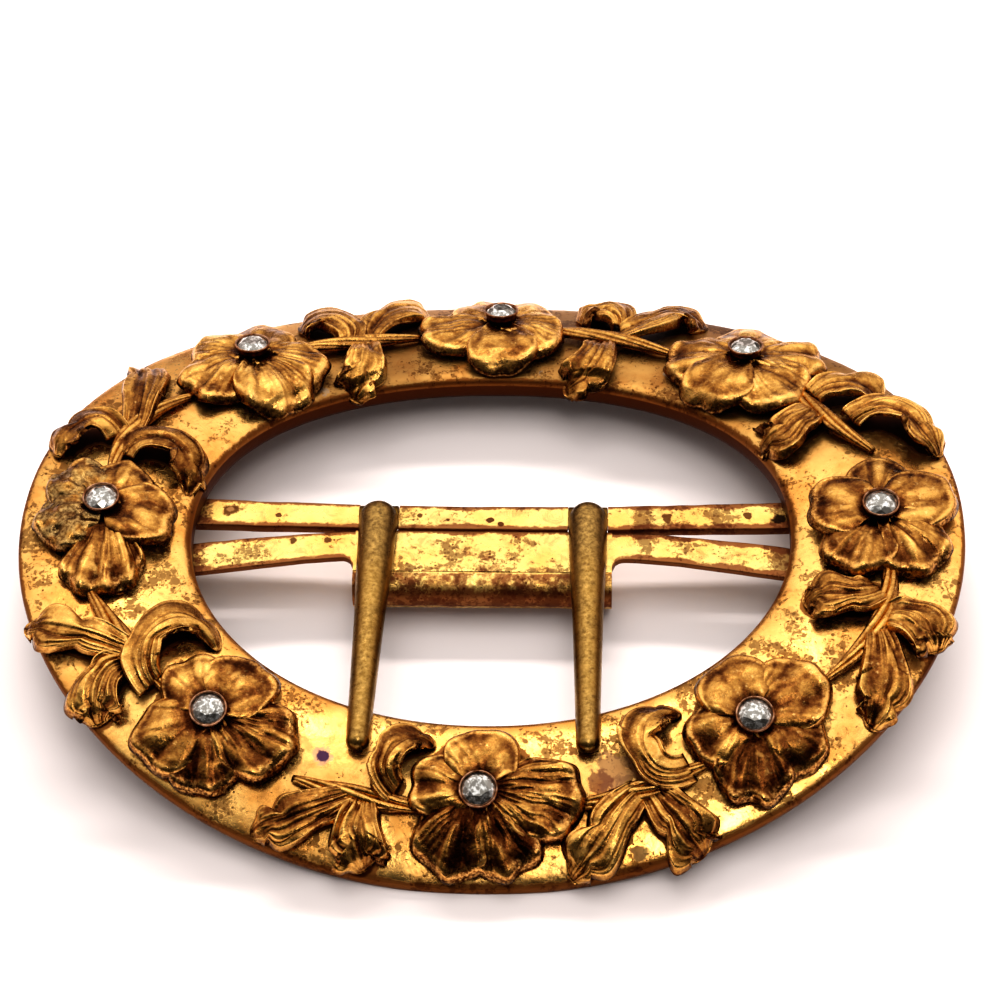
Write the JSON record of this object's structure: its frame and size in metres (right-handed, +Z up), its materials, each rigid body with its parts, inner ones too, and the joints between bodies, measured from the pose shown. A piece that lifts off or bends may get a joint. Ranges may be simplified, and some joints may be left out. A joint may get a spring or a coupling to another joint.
{
  "type": "sash buckle",
  "caption": "Oval arched brass sash buckle with a wide domed band of flowers and leaf sprigs set with small stones, a flat double crossbar and swinging prongs.",
  "frame": {"origin": "middle of the bounding box seen from above, on the surface that the buckle lies on", "axes": "+X along the length of the oval to the right of the picture, +Y across it to the side that the prongs point away from, +Z up, out of the face of the buckle"},
  "size_m": [0.095, 0.077, 0.0132],
  "materials": {
    "band": "worn gilding over brass, speckled with brown pits",
    "crossbars": "worn pale gilding, speckled and tarnished brown",
    "prongs": "polished brass, tarnished olive brown",
    "ornament": "matte bronze gold, dark in the recesses",
    "settings": "tarnished copper brown",
    "stones": "clear faceted, foiled behind"
  },
  "bodies": {
    "buckle": {"frame": "band", "rear_bar": "crossbars", "bridge_plate": "crossbars", "flower_1": "ornament", "flower_2": "ornament", "flower_3": "ornament", "flower_4": "ornament", "flower_5": "ornament", "flower_6": "ornament", "flower_7": "ornament", "flower_8": "ornament", "sprig_1": "ornament", "sprig_2": "ornament", "sprig_3": "ornament", "sprig_4": "ornament", "sprig_5": "ornament", "sprig_6": "ornament", "sprig_7": "ornament", "sprig_8": "ornament", "setting_1": "settings", "setting_2": "settings", "setting_3": "settings", "setting_4": "settings", "setting_5": "settings", "setting_6": "settings", "setting_7": "settings", "setting_8": "settings", "stone_1": "stones", "stone_2": "stones", "stone_3": "stones", "stone_4": "stones", "stone_5": "stones", "stone_6": "stones", "stone_7": "stones", "stone_8": "stones"},
    "left_prong": {"prong_left": "prongs"},
    "right_prong": {"prong_right": "prongs"}
  },
  "joints": [
    {"name": "left_prong_hinge", "type": "hinge", "parent": "buckle", "child": "left_prong", "pos_m": [-0.0116, 0.00365, 0.00553], "axis": [-1, 0, 0], "range_deg": [0, 150]},
    {"name": "right_prong_hinge", "type": "hinge", "parent": "buckle", "child": "right_prong", "pos_m": [0.0098, 0.00365, 0.00553], "axis": [-1, 0, 0], "range_deg": [0, 150]}
  ]
}
